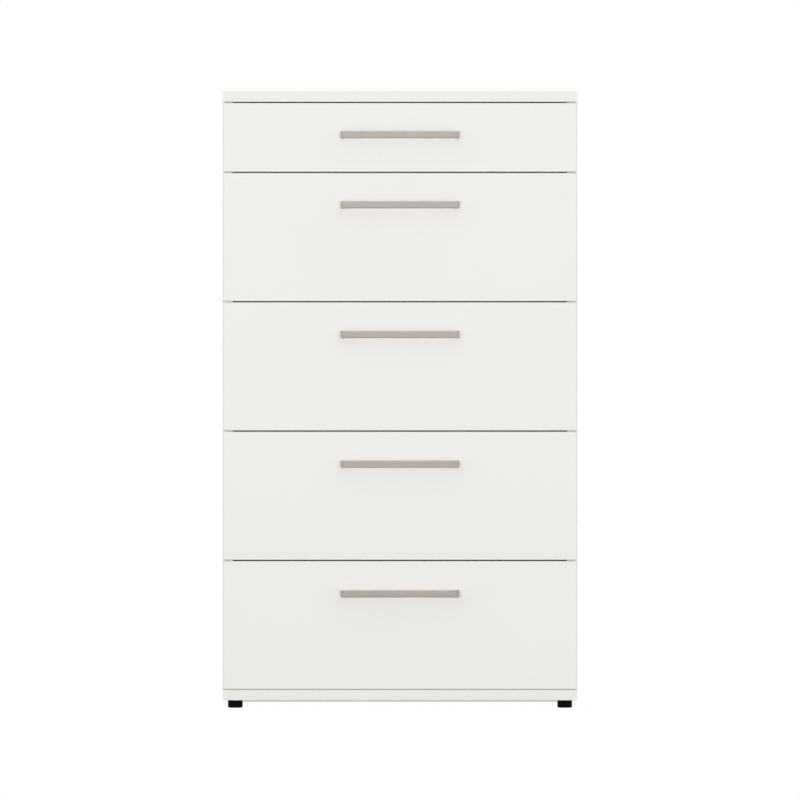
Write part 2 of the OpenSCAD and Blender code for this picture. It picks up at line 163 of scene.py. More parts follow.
def put(tree, kind, inputs=None, **settings):
    """Adds a node with its settings, and feeds its inputs."""
    node = tree.nodes.new(kind)
    for name, value in settings.items():
        setattr(node, name, value)
    for key, source in (inputs or {}).items():
        feed(tree, node.inputs[key], source)
    return node


def new_group(kind, name, inputs, outputs):
    """Starts a group of nodes from named inputs and outputs with their types of socket."""
    tree = bpy.data.node_groups.new(name, kind)
    for in_out, sockets in (("INPUT", inputs), ("OUTPUT", outputs)):
        for socket, socket_type in sockets.items():
            tree.interface.new_socket(socket, in_out=in_out, socket_type=f"NodeSocket{socket_type}")
    given = tree.nodes.new("NodeGroupInput").outputs
    result = tree.nodes.new("NodeGroupOutput").inputs
    return tree, given, result


def maths(tree, operation, *sources):
    return put(tree, "ShaderNodeMath", dict(enumerate(sources)), operation=operation).outputs[0]


def vector_maths(tree, operation, *sources):
    return put(tree, "ShaderNodeVectorMath", dict(enumerate(sources)), operation=operation).outputs


def weigh(tree, first, second, share):
    """Adds two values, the first by its share and the second by the rest."""
    part = maths(tree, "MULTIPLY", first, share)
    rest = maths(tree, "MULTIPLY", second, 1.0 - share)
    return maths(tree, "ADD", part, rest)


def spread(tree, value, low, high, start=0.0, end=1.0):
    """Takes a value from one range to another, and keeps it inside."""
    ranges = {"Value": value, "From Min": start, "From Max": end, "To Min": low, "To Max": high}
    return put(tree, "ShaderNodeMapRange", ranges).outputs["Result"]


def ramp(tree, factor, *stops):
    """Colours a value by stops of a position and a colour."""
    node = put(tree, "ShaderNodeValToRGB", {"Fac": factor})
    elements = node.color_ramp.elements
    for element, (position, colour) in zip(elements, (stops[0], stops[-1])):
        element.position = position
        element.color = colour
    for position, colour in stops[1:-1]:
        elements.new(position).color = colour
    return node.outputs["Color"]


def blend(tree, mask, under, over):
    """Lays one colour over another by a mask."""
    node = put(tree, "ShaderNodeMix", data_type="RGBA")
    sockets = {socket.identifier: socket for socket in node.inputs}
    feed(tree, sockets["Factor_Float"], mask)
    feed(tree, sockets["A_Color"], under)
    feed(tree, sockets["B_Color"], over)
    return next(socket for socket in node.outputs if socket.identifier == "Result_Color")


def object_place(tree):
    return put(tree, "ShaderNodeTexCoord").outputs["Object"]


def noise(tree, place, scale, detail=2.0, roughness=0.5):
    inputs = {"Vector": place, "Scale": scale, "Detail": detail, "Roughness": roughness}
    return put(tree, "ShaderNodeTexNoise", inputs).outputs["Fac"]


def stretch(*sizes):
    """The scales that measure each direction in a grain's own size."""
    return [1 / size for size in sizes]


# Effects that several finishes share

def effect(tree, group, inputs):
    return put(tree, "ShaderNodeGroup", inputs, node_tree=group).outputs


def fine_skin_group():
    """A skin of small grains, and soft patches that are much wider."""
    tree, given, result = new_group(
        "ShaderNodeTree",
        "fine_skin",
        {"Grain": "Float", "Patch": "Float"},
        {"Height": "Float", "Patches": "Float"},
    )
    place = object_place(tree)
    grain_scale = maths(tree, "DIVIDE", 1.0, given["Grain"])
    patch_scale = maths(tree, "DIVIDE", 1.0, given["Patch"])
    feed(tree, result["Height"], noise(tree, place, grain_scale, detail=1.0))
    feed(tree, result["Patches"], noise(tree, place, patch_scale, detail=4.0, roughness=0.6))
    return tree


def board_edges_group():
    """Marks the banded edges of a board between two corners, and the fine seam beside each band."""
    tree, given, result = new_group(
        "ShaderNodeTree",
        "board_edges",
        {"Low": "Vector", "High": "Vector"},
        {"Band": "Float", "Seam": "Float"},
    )
    place = object_place(tree)
    distances = []
    for first, second in ((place, given["Low"]), (given["High"], place)):
        inside = vector_maths(tree, "SUBTRACT", first, second)["Vector"]
        distances.extend(put(tree, "ShaderNodeSeparateXYZ", {0: inside}).outputs)
    nearest = distances[0]
    for distance in distances[1:]:
        nearest = maths(tree, "MINIMUM", nearest, distance)
    feed(tree, result["Band"], maths(tree, "LESS_THAN", nearest, EDGE_BAND))
    off_seam = maths(tree, "ABSOLUTE", maths(tree, "SUBTRACT", nearest, EDGE_BAND))
    feed(tree, result["Seam"], spread(tree, off_seam, 1.0, 0.0, end=SEAM_WIDTH))
    return tree


def bare_face_group():
    """Marks what lies beyond a limit in one direction, where a board's core is left bare."""
    tree, given, result = new_group(
        "ShaderNodeTree", "bare_face", {"Direction": "Vector", "Limit": "Float"}, {"Bare": "Float"}
    )
    reach = vector_maths(tree, "DOT_PRODUCT", object_place(tree), given["Direction"])["Value"]
    feed(tree, result["Bare"], maths(tree, "GREATER_THAN", reach, given["Limit"]))
    return tree


def chipboard_core_group():
    """Pressed wood chips, as they show on a sawn edge, with dust between them."""
    tree, given, result = new_group(
        "ShaderNodeTree", "chipboard_core", {"Stretch": "Vector"}, {"Colour": "Color", "Height": "Float"}
    )
    place = vector_maths(tree, "MULTIPLY", object_place(tree), given["Stretch"])["Vector"]
    chips = put(tree, "ShaderNodeTexVoronoi", {"Vector": place, "Scale": 1.0, "Randomness": 1.0})
    shade = put(tree, "ShaderNodeSeparateColor", {"Color": chips.outputs["Color"]}).outputs["Red"]
    dust = noise(tree, place, scale=2.2, detail=3.0)
    tone = weigh(tree, shade, dust, share=0.55)
    colour = ramp(tree, tone, (0.15, CHIP_DARK), (0.45, CHIP_MID), (0.8, CHIP_LIGHT))
    feed(tree, result["Colour"], colour)
    feed(tree, result["Height"], tone)
    return tree


def streaks_group():
    """Fine lines along one direction, as brushing, rolling or growth leaves them."""
    tree, given, result = new_group(
        "ShaderNodeTree", "streaks", {"Stretch": "Vector"}, {"Streak": "Float"}
    )
    place = vector_maths(tree, "MULTIPLY", object_place(tree), given["Stretch"])["Vector"]
    feed(tree, result["Streak"], noise(tree, place, scale=1.0, detail=5.0, roughness=0.65))
    return tree


FINE_SKIN = fine_skin_group()
BOARD_EDGES = board_edges_group()
BARE_FACE = bare_face_group()
CHIPBOARD_CORE = chipboard_core_group()
STREAKS = streaks_group()


# Finishes

def new_finish(name, **constants):
    """A material with one shader; the constants are set on the shader's own sockets."""
    material = bpy.data.materials.new(name)
    material.use_nodes = True
    tree = material.node_tree
    tree.nodes.clear()
    shader = put(tree, "ShaderNodeBsdfPrincipled")
    for socket, value in constants.items():
        shader.inputs[socket.replace("_", " ")].default_value = value
    put(tree, "ShaderNodeOutputMaterial", {"Surface": shader.outputs["BSDF"]})
    return material, tree, shader


def coat(tree, shader, colour, roughness, height, depth, strength):
    """Gives a shader its colour, its roughness, and a relief of some depth and strength."""
    relief = {"Height": height, "Distance": depth, "Strength": strength}
    feed(tree, shader.inputs["Base Color"], colour)
    feed(tree, shader.inputs["Roughness"], roughness)
    feed(tree, shader.inputs["Normal"], put(tree, "ShaderNodeBump", relief).outputs["Normal"])


def skin_finish(name, grain, patch, stops, roughness, depth, strength, **constants):
    """A finish whose tone, roughness and relief all come from one fine skin."""
    material, tree, shader = new_finish(name, **constants)
    skin = effect(tree, FINE_SKIN, {"Grain": grain, "Patch": patch})
    colour = ramp(tree, skin["Patches"], *stops)
    coat(tree, shader, colour, spread(tree, skin["Patches"], *roughness), skin["Height"], depth, strength)
    return material


def thickness_axis(node):
    low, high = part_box(node)
    return min(range(3), key=lambda axis: high[axis] - low[axis])


def board_outline(node):
    """The two corners that bound a board's faces; its thickness is left out."""
    low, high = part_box(node)
    low[thickness_axis(node)] -= BEYOND_FACES
    high[thickness_axis(node)] += BEYOND_FACES
    return low, high


def chip_stretch(node):
    """Chips lie flat in a board, so its edges show them long and thin."""
    sizes = [CHIP_LENGTH] * 3
    sizes[thickness_axis(node)] = CHIP_THICKNESS
    return stretch(*sizes)


def board_finish(node, light, shade, band, grain, bare_sides):
    """A coated board with banded edges. Its core shows on the sides that are left bare."""
    material, tree, shader = new_finish(f"board_{node}")
    skin = effect(tree, FINE_SKIN, {"Grain": grain, "Patch": BOARD_PATCH})
    low, high = board_outline(node)
    edges = effect(tree, BOARD_EDGES, {"Low": low, "High": high})
    colour = ramp(tree, skin["Patches"], (0.3, shade), (0.7, light))
    colour = blend(tree, edges["Band"], colour, band)
    colour = blend(tree, edges["Seam"], colour, SEAM_GREY)
    roughness = spread(tree, skin["Patches"], 0.36, 0.46)
    height = skin["Height"]
    for direction in bare_sides:
        limit = max(Vector(direction).dot(corner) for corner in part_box(node)) - BARE_EDGE_DEPTH
        bare = effect(tree, BARE_FACE, {"Direction": direction, "Limit": limit})["Bare"]
        core = effect(tree, CHIPBOARD_CORE, {"Stretch": chip_stretch(node)})
        colour = blend(tree, bare, colour, core["Colour"])
        roughness = maths(tree, "MAXIMUM", roughness, maths(tree, "MULTIPLY", bare, CORE_ROUGHNESS))
        height = maths(tree, "ADD", height, maths(tree, "MULTIPLY", bare, core["Height"]))
    coat(tree, shader, colour, roughness, height, depth=0.05 * MM, strength=0.25)
    return material


def white_board(node, bare_sides=()):
    """White melamine with a pearl skin."""
    return board_finish(node, BOARD_WHITE_COOL, BOARD_WHITE, BAND_WHITE, MELAMINE_GRAIN, bare_sides)


def drawer_board(node):
    """White foil over chipboard, bare underneath; a drawer's sides are bare at the rear as well."""
    bare_sides = [UNDER, REAR] if "side" in node else [UNDER]
    return board_finish(node, LINING_WHITE, LINING_SHADE, LINING_WHITE, FOIL_GRAIN, bare_sides)


def hardboard(name, outside):
    """Pressed fibres on the bare side, white lacquer on the side that faces the drawers."""
    material, tree, shader = new_finish(name)
    place = object_place(tree)
    fibres = noise(tree, place, 1 / FIBRE_LENGTH, detail=8.0, roughness=0.72)
    flecks = noise(tree, place, 1 / FLECK_LENGTH)
    skin = effect(tree, FINE_SKIN, {"Grain": 0.9 * MM, "Patch": 180 * MM})
    brown = ramp(tree, fibres, (0.32, HARDBOARD_DARK), (0.68, HARDBOARD_LIGHT))
    brown = blend(tree, spread(tree, flecks, 0.0, 0.75, start=0.62, end=0.74), brown, HARDBOARD_FLECK)
    lacquer = ramp(tree, skin["Patches"], (0.3, LINING_SHADE), (0.7, LINING_WHITE))
    normal = put(tree, "ShaderNodeNewGeometry").outputs["Normal"]
    facing = vector_maths(tree, "DOT_PRODUCT", normal, outside)["Value"]
    bare = maths(tree, "GREATER_THAN", facing, LACQUER_FACING)
    colour = blend(tree, bare, lacquer, brown)
    roughness = spread(tree, bare, 0.42, 0.68)
    height = maths(tree, "ADD", skin["Height"], maths(tree, "MULTIPLY", bare, fibres))
    coat(tree, shader, colour, roughness, height, depth=0.08 * MM, strength=0.35)
    return material


def satin_handle():
    """Nickel, brushed along the bar."""
    material, tree, shader = new_finish("satin_handle", Metallic=1.0)
    streak = effect(tree, STREAKS, {"Stretch": stretch(60 * MM, 0.35 * MM, 0.35 * MM)})["Streak"]
    skin = effect(tree, FINE_SKIN, {"Grain": 0.3 * MM, "Patch": 45 * MM})
    tone = weigh(tree, streak, skin["Patches"], share=0.7)
    colour = ramp(tree, tone, (0.35, SATIN_DARK), (0.65, SATIN_LIGHT))
    roughness = spread(tree, tone, 0.42, 0.52, start=0.3, end=0.7)
    coat(tree, shader, colour, roughness, streak, depth=0.03 * MM, strength=0.3)
    return material


def runner_paint():
    """White powder paint on bent steel, with a slight orange peel."""
    material, tree, shader = new_finish("runner_paint")
    skin = effect(tree, FINE_SKIN, {"Grain": 1.6 * MM, "Patch": 60 * MM})
    streak = effect(tree, STREAKS, {"Stretch": stretch(2 * MM, 90 * MM, 2 * MM)})["Streak"]
    tone = weigh(tree, skin["Patches"], streak, share=0.6)
    colour = ramp(tree, tone, (0.35, RUNNER_SHADE), (0.62, RUNNER_WHITE))
    roughness = spread(tree, tone, 0.24, 0.38, start=0.3, end=0.7)
    coat(tree, shader, colour, roughness, skin["Height"], depth=0.05 * MM, strength=0.35)
    return material


def beech_dowel():
    """Beech, with its grain along the dowel."""
    material, tree, shader = new_finish("beech_dowel")
    grain = effect(tree, STREAKS, {"Stretch": stretch(0.8 * MM, 0.8 * MM, 14 * MM)})["Streak"]
    colour = ramp(tree, grain, (0.35, BEECH_DARK), (0.65, BEECH_LIGHT))
    coat(tree, shader, colour, spread(tree, grain, 0.5, 0.7), grain, depth=0.1 * MM, strength=0.4)
    return material


def moulded_foot():
    """Black plastic with an eroded mould's dull skin."""
    return skin_finish(
        "moulded_foot",
        grain=0.4 * MM,
        patch=14 * MM,
        stops=[(0.35, FOOT_BLACK), (0.75, FOOT_WORN)],
        roughness=(0.45, 0.62),
        depth=0.06 * MM,
        strength=0.4,
        Specular_IOR_Level=0.06,
    )


def roller_nylon():
    """Milky nylon, with flow marks from the mould."""
    return skin_finish(
        "roller_nylon",
        grain=0.5 * MM,
        patch=9 * MM,
        stops=[(0.3, NYLON_SHADE), (0.65, NYLON_WHITE)],
        roughness=(0.34, 0.5),
        depth=0.03 * MM,
        strength=0.3,
        Subsurface_Weight=0.15,
        Subsurface_Scale=2 * MM,
    )


def zinc_plate():
    """Zinc plating, mottled where the bath left it thicker."""
    return skin_finish(
        "zinc_plate",
        grain=0.35 * MM,
        patch=5 * MM,
        stops=[(0.3, ZINC_DARK), (0.66, ZINC_LIGHT)],
        roughness=(0.44, 0.26),
        depth=0.03 * MM,
        strength=0.3,
        Metallic=1.0,
    )


def dress(node, material):
    """Gives a node of the frame its finish."""
    for slot in frame["nodes"][node].material_slots:
        slot.material = material


for panel in ("top_panel", "base_panel", "side_panel_left", "side_panel_right"):
    dress(panel, white_board(panel, bare_sides=[REAR]))
dress("back_panel", hardboard("hardboard_back", REAR))
dress("feet", moulded_foot())
dress("dowels", beech_dowel())

rail_finish = runner_paint()
dress("cabinet_rails_left", rail_finish)
dress("cabinet_rails_right", rail_finish)

handle_finish = satin_handle()
bottom_finish = hardboard("hardboard_bottom", UNDER)
nylon_finish = roller_nylon()
zinc_finish = zinc_plate()
for n in drawer_numbers:
    dress(f"drawer_{n}_front", white_board(f"drawer_{n}_front"))
    dress(f"drawer_{n}_handle", handle_finish)
    for board in ("side_left", "side_right", "back"):
        dress(f"drawer_{n}_{board}", drawer_board(f"drawer_{n}_{board}"))
    dress(f"drawer_{n}_bottom", bottom_finish)
    dress(f"drawer_{n}_rails", rail_finish)
    dress(f"front_rollers_{n}", nylon_finish)
    dress(f"rear_rollers_{n}", nylon_finish)


# Shapes of the screws, cams and bolts: each stands on z, with its head or shown end at the origin

def cross_recess(span, arm):
    """Outline of a cross, counted round from its first arm."""
    arm_end = ((span / 2, -arm / 2), (span / 2, arm / 2), (arm / 2, arm / 2))
    outline = []
    for turn in range(4):
        cosine = round(math.cos(turn * math.pi / 2))
        sine = round(math.sin(turn * math.pi / 2))
        outline += [(x * cosine - y * sine, x * sine + y * cosine) for x, y in arm_end]
    return outline


def hex_recess(span):
    angles = [math.radians(60 * turn) for turn in range(6)]
    return [(span / 2 * math.cos(angle), span / 2 * math.sin(angle)) for angle in angles]


def join(shape, *corners):
    """Makes a face; a corner that comes twice counts once."""
    shape.faces.new(list(dict.fromkeys(corners)))


def wind_thread(shape, lower, upper, pitch):
    """Joins two rings of one radius by a thread that winds up from the first to the second."""
    segments = len(lower)
    crest = lower[0].co.x
    low = lower[0].co.z
    turns = round((upper[0].co.z - low) / pitch)
    lead = (upper[0].co.z - low) / turns
    last = (turns - 1) * segments

    def helix(radius, start, steps):
        places = [(2 * math.pi * step / segments, start + lead * step / segments) for step in steps]
        return [shape.verts.new((radius * math.cos(a), radius * math.sin(a), z)) for a, z in places]

    crests = [lower[0], *helix(crest, low, range(1, last + segments)), upper[0]]
    roots = helix((1 - THREAD_DEPTH) * crest, low + lead / 2, range(last + 1))
    for step in range(segments):
        after = (step + 1) % segments
        join(shape, lower[step], lower[after], crests[step + 1], crests[step])
        join(shape, crests[last + step], crests[last + step + 1], upper[after], upper[step])
    for step in range(last):
        join(shape, crests[step], crests[step + 1], roots[step + 1], roots[step])
        join(shape, roots[step], roots[step + 1], crests[step + segments + 1], crests[step + segments])
    for end in (0, last):
        join(shape, crests[end], roots[end], crests[end + segments])


def cut_recess(shape, rim, recess, depth):
    """Fills the cap inside a rim, round a recess that narrows to its floor."""
    top = rim[0].co.z
    mouth = [shape.verts.new((x, y, top)) for x, y in recess]
    floor = [shape.verts.new((RECESS_TAPER * x, RECESS_TAPER * y, top - depth)) for x, y in recess]
    border = []
    for loop in (rim, mouth):
        for first, second in zip(loop, loop[1:] + loop[:1]):
            border.append(shape.edges.get((first, second)) or shape.edges.new((first, second)))
    bmesh.ops.triangle_fill(shape, use_beauty=True, edges=border)
    for step in range(len(mouth)):
        shape.faces.new((mouth[step - 1], floor[step - 1], floor[step], mouth[step]))
    shape.faces.new(floor)


def turned_mesh(name, profile, recess=(), depth=0.0, segments=TURNED_SEGMENTS, threaded=None, pitch=None):
    """Turns a profile of radius and height about z, from the tip up.

    A driver's recess is cut in its cap. A thread winds up from the point that is threaded to the next.
    """
    shape = bmesh.new()
    angles = [2 * math.pi * step / segments for step in range(segments)]
    rings = []
    for radius, height in profile:
        at = angles if radius else angles[:1]
        rings.append([shape.verts.new((radius * math.cos(a), radius * math.sin(a), height)) for a in at])
    for point, (lower, upper) in enumerate(zip(rings, rings[1:])):
        if point == threaded:
            wind_thread(shape, lower, upper, pitch)
            continue
        for step in range(segments):
            below = [lower[at % len(lower)] for at in (step, step + 1)]
            above = [upper[at % len(upper)] for at in (step + 1, step)]
            join(shape, *below, *above)
    if recess:
        cut_recess(shape, rings[-1], recess, depth)
    bmesh.ops.recalc_face_normals(shape, faces=shape.faces)
    mesh = bpy.data.meshes.new(name)
    shape.to_mesh(mesh)
    shape.free()
    mesh.shade_smooth()
    mesh.set_sharp_from_angle(angle=SHARP_ANGLE)
    return mesh


def pan_screw(name, length, head, rise, shank, pitch, point=SCREW_POINT):
    """A screw with a low round head, threaded all along."""
    profile = [(0.0, -length), (shank / 2, point * shank - length), (shank / 2, -rise), (head / 2, -rise)]
    profile += [(share * head / 2, -drop * rise) for share, drop in PAN_DOME]
    recess = cross_recess(span=0.56 * head, arm=0.14 * head)
    return turned_mesh(name, profile, recess, depth=0.8 * rise, threaded=1, pitch=pitch)


def sunk_screw(name, length, head, shank, pitch):
    """A screw with a flat countersunk head and a plain neck."""
    profile = [(0.0, -length), (shank / 2, SCREW_POINT * shank - length)]
    profile += [(shank / 2, -SUNK_NECK * length), (shank / 2, (shank - head) / 2)]
    profile += [(head / 2, -SUNK_RIM), (head / 2 - RIM_SOFTNESS, 0.0)]
    recess = cross_recess(span=0.58 * head, arm=0.13 * head)
    return turned_mesh(name, profile, recess, depth=SUNK_RECESS_DEPTH, threaded=1, pitch=pitch)


def long_screw(name, length, head, neck, neck_length, thread, pitch):
    """A flat-pack screw with a thick neck and a hexagon socket."""
    profile = [(0.0, -length), (thread / 2, LONG_POINT - length), (thread / 2, -neck_length)]
    profile += [(neck / 2, -neck_length), (neck / 2, (neck - head) / 2)]
    profile += [(head / 2, -LONG_RIM), (head / 2 - RIM_SOFTNESS, 0.0)]
    return turned_mesh(name, profile, hex_recess(HEX_SPAN), depth=HEX_DEPTH, threaded=1, pitch=pitch)


def cam(name, length, width):
    """A cast cam with a raised rim and a cross for the driver."""
    r = width / 2
    profile = [(0.0, -length), (r, -length), (r, -CAM_SOFTNESS), (r - CAM_SOFTNESS, 0.0)]
    profile += [(r - CAM_RIM, 0.0), (r - CAM_FACE_INSET, -CAM_FACE_DEPTH)]
    recess = cross_recess(span=0.56 * width, arm=CAM_CROSS_ARM)
    return turned_mesh(name, profile, recess, depth=CAM_CROSS_DEPTH, segments=CAM_SEGMENTS)


def bolt(name, length, width, thread_length, pitch):
    """A bolt screwed into one board, with a necked head for the cam in the other."""
    r = width / 2
    neck = BOLT_NECK * r
    soft = r - BOLT_SOFTNESS
    profile = [(0.0, -length), (soft, -length), (r, BOLT_SOFTNESS - length), (r, thread_length - length)]
    profile += [(r, -BOLT_SHOULDER), (neck, BOLT_SLOPE - BOLT_SHOULDER)]
    profile += [(neck, -BOLT_SLOPE - BOLT_HEAD), (r, -BOLT_HEAD)]
    profile += [(r, -BOLT_SOFTNESS), (soft, 0.0), (0.0, 0.0)]
    return turned_mesh(name, profile, threaded=2, pitch=pitch)


# Kinds of fastener: the axis and length that tell them apart in the frame, and which of their ends shows

def outwards(middle):
    return math.copysign(1.0, middle.x)


def inwards(middle):
    return -math.copysign(1.0, middle.x)


def along_axis(middle):
    return 1.0


def against_axis(middle):
    return -1.0


Fastener = namedtuple("Fastener", "axis length shows mesh")


def fastener(name, make, length, axis, shows, **sizes):
    return Fastener(axis, length, shows, make(name, length, **sizes))


FASTENERS = [
    fastener("fastener_0_large_cam", cam, 12.5 * MM, ACROSS, inwards, width=15 * MM),
    fastener("fastener_1_small_cam", cam, 9.5 * MM, ACROSS, outwards, width=12 * MM),
    fastener(
        "fastener_2_rail_screw", pan_screw, 15.6 * MM, ACROSS, inwards,
        head=7.2 * MM, rise=1.4 * MM, shank=3.8 * MM, pitch=1.5 * MM,
    ),
    fastener(
        "fastener_3_box_screw", sunk_screw, 35 * MM, ACROSS, outwards,
        head=7.6 * MM, shank=4 * MM, pitch=1.8 * MM,
    ),
    fastener(
        "fastener_4_handle_screw", pan_screw, 28.4 * MM, DEEP, along_axis,
        head=7.8 * MM, rise=2.4 * MM, shank=3.8 * MM, pitch=0.9 * MM, point=BLUNT_POINT,
    ),
    fastener(
        "fastener_5_box_bolt", bolt, 34 * MM, DEEP, along_axis,
        width=4.8 * MM, thread_length=11 * MM, pitch=1.6 * MM,
    ),
    fastener(
        "fastener_6_under_screw", pan_screw, 10.3 * MM, UP, against_axis,
        head=6 * MM, rise=1.6 * MM, shank=3.2 * MM, pitch=1.4 * MM,
    ),
    fastener(
        "fastener_7_cam_bolt", bolt, 45 * MM, UP, against_axis,
        width=5 * MM, thread_length=11 * MM, pitch=1.6 * MM,
    ),
    fastener(
        "fastener_8_long_screw", long_screw, 50 * MM, UP, against_axis,
        head=9.6 * MM, neck=6.8 * MM, neck_length=18 * MM, thread=4.8 * MM, pitch=2.4 * MM,
    ),
]


# Setting the fasteners: Geometry Nodes put one at the place of each solid in a fittings node

def solid_boxes(node):
    """The corners of each separate solid in a node of the frame."""
    shape = bmesh.new()
    shape.from_mesh(frame["nodes"][node].data)
    bmesh.ops.remove_doubles(shape, verts=shape.verts, dist=WELD_DISTANCE)
    waiting = set(shape.verts)
    boxes = []
    while waiting:
        solid = [waiting.pop()]
        for vertex in solid:
            for edge in vertex.link_edges:
                neighbour = edge.other_vert(vertex)
                if neighbour in waiting:
                    waiting.remove(neighbour)
                    solid.append(neighbour)
        low = Vector([min(vertex.co[axis] for vertex in solid) for axis in range(3)])
        high = Vector([max(vertex.co[axis] for vertex in solid) for axis in range(3)])
        boxes.append((low, high))
    shape.free()
    return sorted(boxes, key=lambda box: tuple(box[0]))


def fastener_at(low, high):
    """Which fastener a solid's box holds, the middle of its shown end, and the way that end faces."""
    size = high - low
    middle = (low + high) / 2
    axis = max(range(3), key=lambda a: abs(size[a] - sorted(size)[1]))
    alike = [index for index, kind in enumerate(FASTENERS) if kind.axis == axis]
    index = min(alike, key=lambda i: abs(FASTENERS[i].length - size[axis]))
    facing = Vector((0.0, 0.0, 0.0))
    facing[axis] = FASTENERS[index].shows(middle)
    return index, middle + facing * size[axis] / 2, facing


def finish_group(tree, instances, given, result):
    """Ends a group with real geometry in its finish."""
    real = put(tree, "GeometryNodeRealizeInstances", {"Geometry": instances}).outputs["Geometry"]
    dressed = put(tree, "GeometryNodeSetMaterial", {"Geometry": real, "Material": given["Finish"]})
    feed(tree, result["Geometry"], dressed.outputs["Geometry"])


def fastener_setter_group():
    """Sets the fastener of each point's kind there, facing outwards and turned by chance."""
    tree, given, result = new_group(
        "GeometryNodeTree",
        "fastener_setter",
        {"Geometry": "Geometry", "Fasteners": "Collection", "Finish": "Material", "Seed": "Int"},
        {"Geometry": "Geometry"},
    )
    kind = put(tree, "GeometryNodeInputNamedAttribute", {"Name": "kind"}, data_type="INT")
    facing = put(tree, "GeometryNodeInputNamedAttribute", {"Name": "facing"}, data_type="FLOAT_VECTOR")
    shapes = put(
        tree,
        "GeometryNodeCollectionInfo",
        {"Collection": given["Fasteners"], "Separate Children": True, "Reset Children": True},
    )
    chance = put(tree, "FunctionNodeRandomValue", {"Seed": given["Seed"]}, data_type="FLOAT")
    angle = maths(tree, "MULTIPLY", chance.outputs[1], 2 * math.pi)
    spin = put(tree, "FunctionNodeAxisAngleToRotation", {"Axis": (0.0, 0.0, 1.0), "Angle": angle})
    way = {"Vector": facing.outputs["Attribute"]}
    aligned = put(tree, "FunctionNodeAlignRotationToVector", way, axis="Z")
    turned = put(
        tree,
        "FunctionNodeRotateRotation",
        {"Rotation": aligned.outputs["Rotation"], "Rotate By": spin.outputs["Rotation"]},
        rotation_space="LOCAL",
    )
    placed = put(
        tree,
        "GeometryNodeInstanceOnPoints",
        {
            "Points": given["Geometry"],
            "Instance": shapes.outputs["Instances"],
            "Pick Instance": True,
            "Instance Index": kind.outputs["Attribute"],
            "Rotation": turned.outputs["Rotation"],
        },
    )
    finish_group(tree, placed.outputs["Instances"], given, result)
    return tree


def pin_row_group():
    """A row of panel pins between two points, with their low heads underneath."""
    sizes = {"First": "Vector", "Last": "Vector", "Count": "Int", "Head": "Float", "Rise": "Float"}
    tree, given, result = new_group(
        "GeometryNodeTree", "pin_row", {**sizes, "Finish": "Material"}, {"Geometry": "Geometry"}
    )
    row = put(
        tree,
        "GeometryNodeMeshLine",
        {"Count": given["Count"], "Start Location": given["First"], "Offset": given["Last"]},
        mode="END_POINTS",
    )
    foot = maths(tree, "MULTIPLY", given["Head"], 0.5)
    crown = maths(tree, "MULTIPLY", given["Head"], PIN_CROWN)
    head = put(
        tree,
        "GeometryNodeMeshCone",
        {"Vertices": PIN_SIDES, "Radius Top": crown, "Radius Bottom": foot, "Depth": given["Rise"]},
    )
    placed = put(
        tree,
        "GeometryNodeInstanceOnPoints",
        {"Points": row.outputs["Mesh"], "Instance": head.outputs["Mesh"], "Rotation": (math.pi, 0.0, 0.0)},
    )
    finish_group(tree, placed.outputs["Instances"], given, result)
    return tree


def grow(piece, tree, values):
    """Runs a Geometry Nodes group on a piece and keeps the result as a plain mesh."""
    bpy.context.scene.collection.objects.link(piece)
    modifier = piece.modifiers.new(tree.name, "NODES")
    modifier.node_group = tree
    for item in tree.interface.items_tree:
        if item.in_out == "INPUT" and item.name in values:
            modifier[item.identifier] = values[item.name]
    depsgraph = bpy.context.evaluated_depsgraph_get()
    grown = bpy.data.meshes.new_from_object(piece.evaluated_get(depsgraph), depsgraph=depsgraph)
    piece.modifiers.clear()
    piece.data = grown


def set_fasteners(body, node, shapes, tree):
    """Replaces a fittings node with finished fasteners on the same places."""
    places = [fastener_at(low, high) for low, high in solid_boxes(node)]
    mesh = bpy.data.meshes.new(f"{node}_places")
    mesh.from_pydata([place for index, place, facing in places], [], [])
    kinds = mesh.attributes.new("kind", "INT", "POINT")
    facings = mesh.attributes.new("facing", "FLOAT_VECTOR", "POINT")
    for point, (index, place, facing) in enumerate(places):
        kinds.data[point].value = index
        facings.data[point].vector = facing
    piece = bpy.data.objects.new(f"{body}_fasteners", mesh)
    grow(piece, tree, {"Fasteners": shapes, "Finish": zinc_finish, "Seed": FASTENER_SEED})
    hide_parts(node)
    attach(piece, body)


def pin_bottom(number, tree):
    """Pins a drawer's bottom to its back from underneath."""
    back_low, back_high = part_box(f"drawer_{number}_back")
    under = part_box(f"drawer_{number}_bottom")[0].z
    first = Vector((back_low.x + PIN_INSET, (back_low.y + back_high.y) / 2, under))
    last = Vector((-first.x, first.y, under))
    piece = bpy.data.objects.new(f"drawer_{number}_pins", bpy.data.meshes.new("pins"))
    values = {"First": first, "Last": last, "Count": PIN_COUNT, "Head": PIN_HEAD, "Rise": PIN_RISE}
    grow(piece, tree, {**values, "Finish": zinc_finish})
    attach(piece, f"drawer_{number}")


def all_fasteners():
    """Fastens the carcass and the drawers; the shapes that are copied go away again."""
    shapes = bpy.data.collections.new("fasteners")
    for kind in FASTENERS:
        shapes.objects.link(bpy.data.objects.new(kind.mesh.name, kind.mesh))
    setter = fastener_setter_group()
    pin_row = pin_row_group()
    set_fasteners("carcass", "carcass_fittings", shapes, setter)
    for number in drawer_numbers:
        set_fasteners(f"drawer_{number}", f"drawer_{number}_fittings", shapes, setter)
        pin_bottom(number, pin_row)
    for shape in list(shapes.objects):
        bpy.data.objects.remove(shape)
    bpy.data.collections.remove(shapes)


all_fasteners()


# Studio: a pale floor that fades into a white room, and a soft box before the fronts

